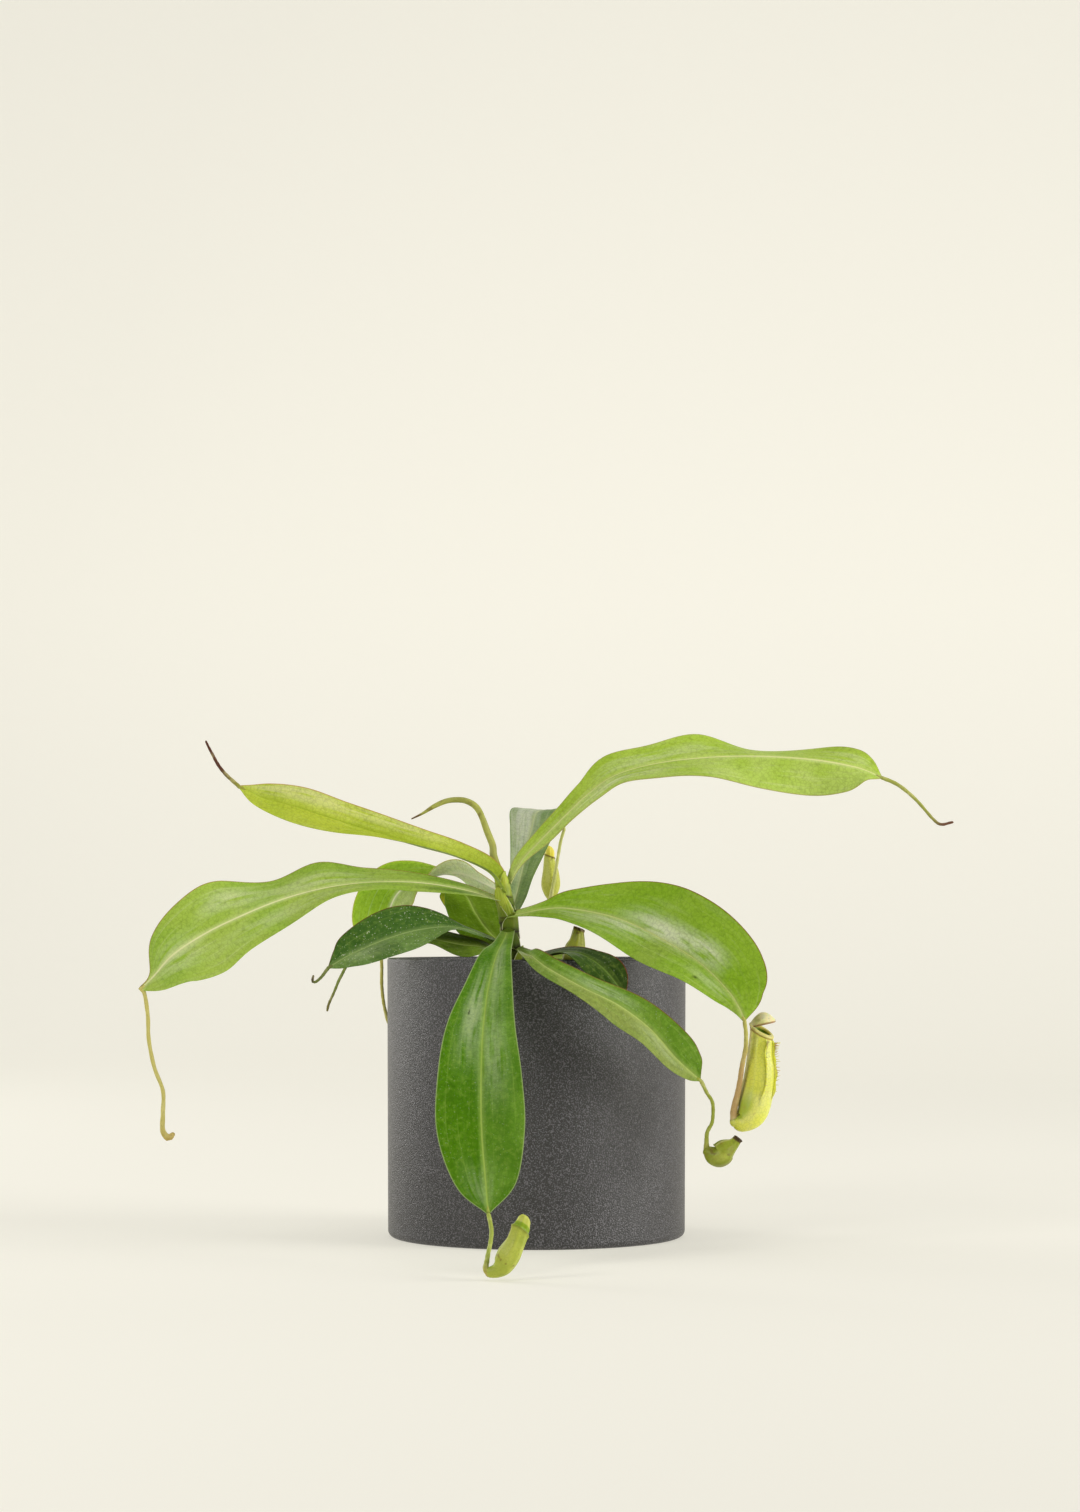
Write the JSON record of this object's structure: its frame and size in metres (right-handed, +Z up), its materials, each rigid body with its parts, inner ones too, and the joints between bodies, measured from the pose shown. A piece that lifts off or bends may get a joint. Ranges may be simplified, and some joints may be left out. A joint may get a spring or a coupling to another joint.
{
  "type": "potted pitcher plant",
  "caption": "Young tropical pitcher plant in a plain round dark pot, with long strap leaves that end in tendrils and small hanging pitchers.",
  "frame": {"origin": "centre of the pot's flat underside", "axes": "+Z up; +X to the viewer's right in the reference view; +Y away from the viewer, so the front leaf reaches towards -Y"},
  "size_m": [0.3762, 0.2852, 0.2351],
  "materials": {
    "pot_clay": "matte",
    "peat_mix": "matte",
    "stem_bark": "satin",
    "leaf_light_green": "satin",
    "leaf_dark_green": "gloss",
    "tendril_yellow_green": "satin",
    "pitcher_yellow_green": "satin"
  },
  "bodies": {
    "root": {"pot": "pot_clay", "soil": "peat_mix", "stem": "stem_bark", "leaf_upper_left": "leaf_light_green", "leaf_long_right": "leaf_light_green", "leaf_long_left": "leaf_light_green", "leaf_broad_right": "leaf_light_green", "leaf_front": "leaf_dark_green", "leaf_low_right": "leaf_dark_green", "leaf_dark_right": "leaf_dark_green", "leaf_mid_left": "leaf_dark_green", "leaf_arched_back": "leaf_light_green", "leaf_upright_back": "leaf_dark_green", "leaf_old_back": "leaf_dark_green", "leaf_low_left": "leaf_dark_green", "leaf_small_inner": "leaf_light_green", "leaf_rolled": "leaf_light_green", "tendril_upper_left": "tendril_yellow_green", "tendril_long_right": "tendril_yellow_green", "tendril_long_left": "tendril_yellow_green", "tendril_arched_back": "tendril_yellow_green", "tendril_mid_left": "tendril_yellow_green", "tendril_low_left": "tendril_yellow_green", "pitcher_front": "pitcher_yellow_green", "pitcher_low_right": "pitcher_yellow_green", "pitcher_upright_back": "pitcher_yellow_green", "pitcher_small_inner": "pitcher_yellow_green", "pitcher_open_right": "pitcher_yellow_green"}
  },
  "joints": []
}
